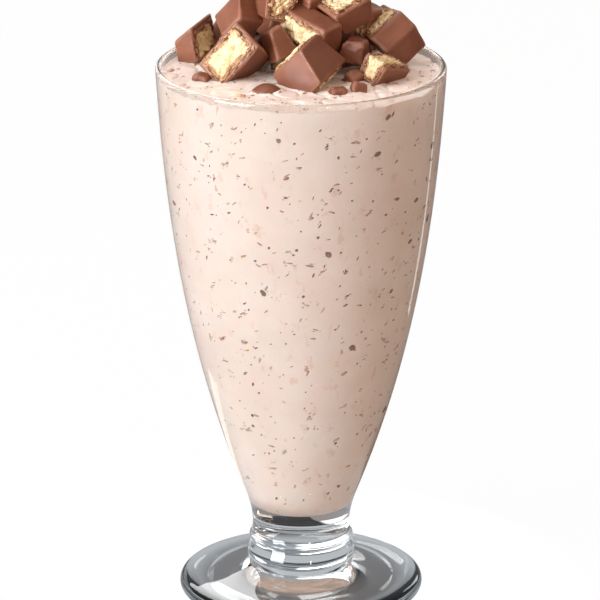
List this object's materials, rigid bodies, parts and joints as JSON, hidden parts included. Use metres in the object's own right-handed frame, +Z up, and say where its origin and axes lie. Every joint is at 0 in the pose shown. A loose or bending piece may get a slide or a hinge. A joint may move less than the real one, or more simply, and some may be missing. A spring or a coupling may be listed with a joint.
{
  "type": "milkshake",
  "caption": "Creamy flecked milkshake in a clear footed soda glass, filled almost to the rim and heaped with broken pieces of cream-filled chocolate bar.",
  "frame": {"origin": "centre of the round foot's underside, where the glass stands", "axes": "+Z up along the glass's axis; -Y is the front of the heap of bar pieces"},
  "size_m": [0.092, 0.092, 0.2081],
  "materials": {
    "glass": "clear polished",
    "milkshake": "thick soft foam with chocolate flecks",
    "chocolate": "broken, flaky, slightly glossy",
    "filling": "crumbly"
  },
  "bodies": {
    "root": {"glass": "glass", "milkshake": "milkshake", "drop": "chocolate", "chip_back": "chocolate", "chip_front": "chocolate", "chip_left": "chocolate", "chip_middle": "chocolate", "chunk_back_left_coat": "chocolate", "chunk_back_left_filling": "filling", "chunk_back_middle_coat": "chocolate", "chunk_back_middle_filling": "filling", "chunk_back_right_coat": "chocolate", "chunk_back_right_filling": "filling", "chunk_core_left": "chocolate", "chunk_core_right": "chocolate", "chunk_core_top": "chocolate", "chunk_front_coat": "chocolate", "chunk_front_filling": "filling", "chunk_front_left_coat": "chocolate", "chunk_front_left_filling": "filling", "chunk_front_right_coat": "chocolate", "chunk_front_right_filling": "filling", "chunk_inner_left_coat": "chocolate", "chunk_inner_left_filling": "filling", "chunk_inner_middle_coat": "chocolate", "chunk_inner_middle_filling": "filling", "chunk_inner_right_coat": "chocolate", "chunk_inner_right_filling": "filling", "chunk_left_coat": "chocolate", "chunk_left_filling": "filling", "chunk_middle_coat": "chocolate", "chunk_middle_filling": "filling", "chunk_right_coat": "chocolate", "chunk_right_filling": "filling", "chunk_small_left_coat": "chocolate", "chunk_small_left_filling": "filling", "chunk_small_right": "chocolate", "chunk_top_left_coat": "chocolate", "chunk_top_left_filling": "filling", "chunk_top_right_coat": "chocolate", "chunk_top_right_filling": "filling", "chunk_upper_back_left_coat": "chocolate", "chunk_upper_back_left_filling": "filling", "chunk_upper_back_right_coat": "chocolate", "chunk_upper_back_right_filling": "filling", "chunk_upper_inner_right_coat": "chocolate", "chunk_upper_inner_right_filling": "filling", "chunk_upper_left": "chocolate", "chunk_upper_middle_coat": "chocolate", "chunk_upper_middle_filling": "filling", "chunk_upper_right_coat": "chocolate", "chunk_upper_right_filling": "filling", "crumb_right": "chocolate"}
  },
  "joints": []
}
